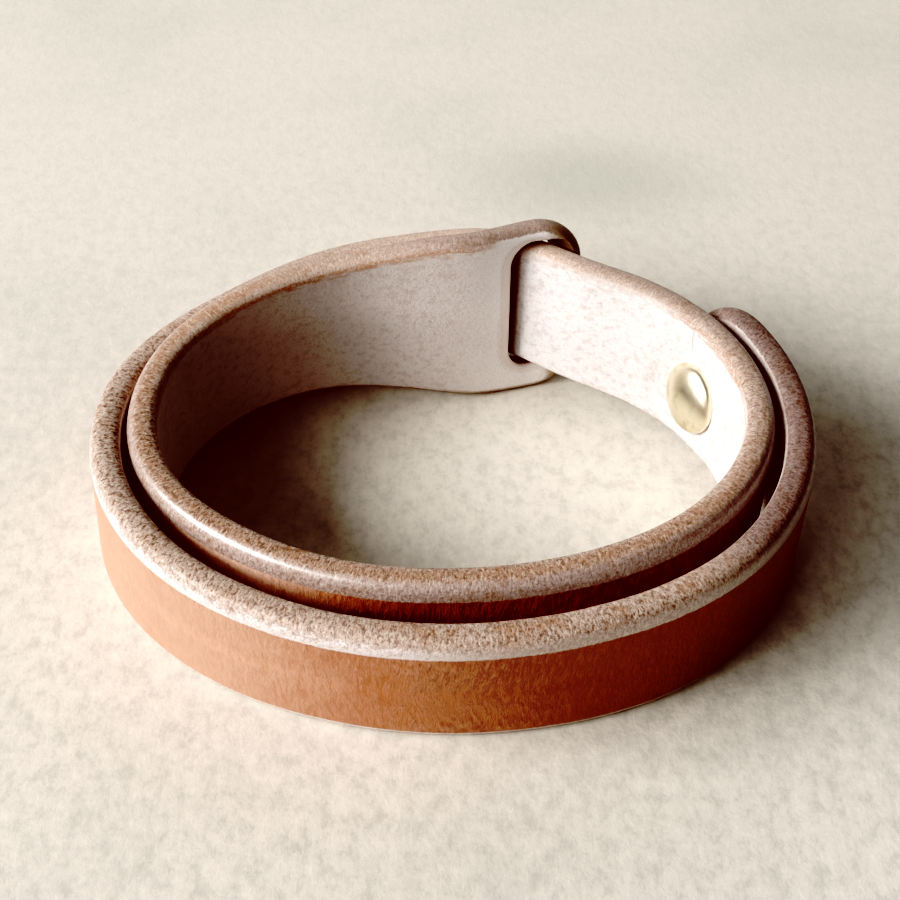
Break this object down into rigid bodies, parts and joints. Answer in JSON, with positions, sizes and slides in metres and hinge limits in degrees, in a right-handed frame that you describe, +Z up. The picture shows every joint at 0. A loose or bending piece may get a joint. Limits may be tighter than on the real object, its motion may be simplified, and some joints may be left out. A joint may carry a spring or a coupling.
{
  "type": "leather wrap bracelet",
  "caption": "Thick leather strap bracelet wound round twice, its narrow end passed through a slot in the wide end and snapped shut.",
  "frame": {"origin": "on the surface it lies on, under the middle of its footprint", "axes": "+Z up across the strap, +X along the bracelet's longer way across towards the snap's side, +Y towards the slotted wide end"},
  "size_m": [0.071, 0.0588, 0.0215],
  "materials": {
    "tan_leather": "smooth waxed grain outside, pale rough flesh inside, burnished edges",
    "snap_brass": "worn satin"
  },
  "bodies": {
    "root": {"leather_strap": "tan_leather", "snap_cap": "snap_brass", "snap_post": "snap_brass"}
  },
  "joints": []
}
